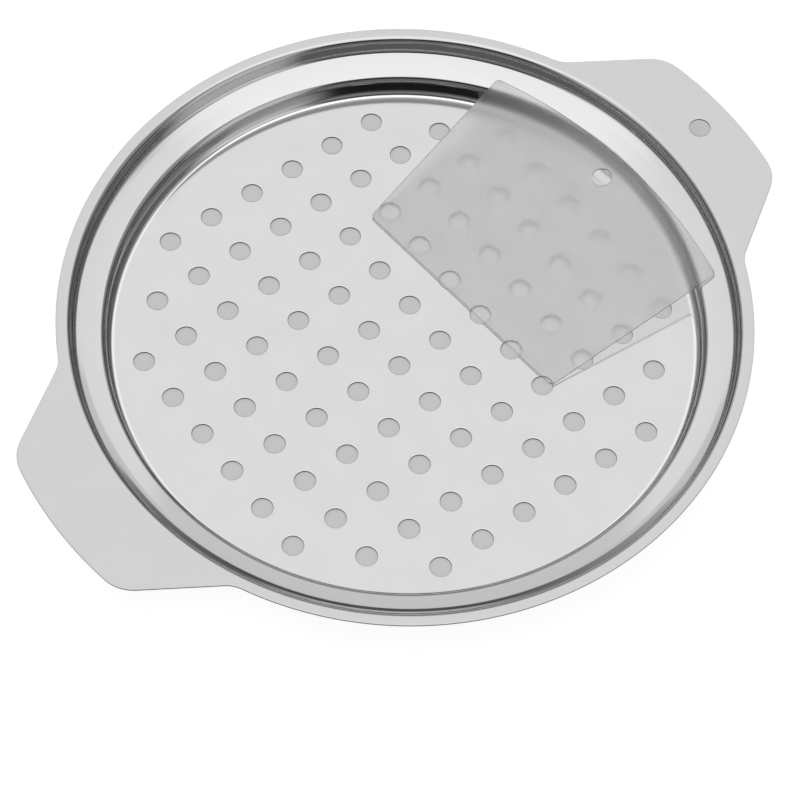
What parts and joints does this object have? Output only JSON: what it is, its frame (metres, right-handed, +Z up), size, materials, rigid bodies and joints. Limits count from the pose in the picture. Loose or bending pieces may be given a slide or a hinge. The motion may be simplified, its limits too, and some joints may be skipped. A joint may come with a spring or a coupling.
{
  "type": "spaetzle maker",
  "caption": "Round perforated steel lid with a stepped edge and two flat handles, and a loose frosted plastic scraper that pushes batter through its holes.",
  "frame": {"origin": "middle of the floor's underside, which is also the bottom centre of the whole object", "axes": "+Z up out of the tray, +X along the two handles towards the one with the hanging hole"},
  "size_m": [0.299, 0.25, 0.0178],
  "materials": {
    "plate_steel": "satin stainless sheet, pressed and left bare",
    "scraper_plastic": "frosted translucent sheet"
  },
  "bodies": {
    "plate": {"strainer_plate": "plate_steel"},
    "scraper": {"scraper": "scraper_plastic"}
  },
  "joints": [
    {"name": "scrape_slide", "type": "slide", "parent": "plate", "child": "scraper", "axis": [-0.9951, -0.0993, 0], "range_m": [0, 0.118]}
  ]
}
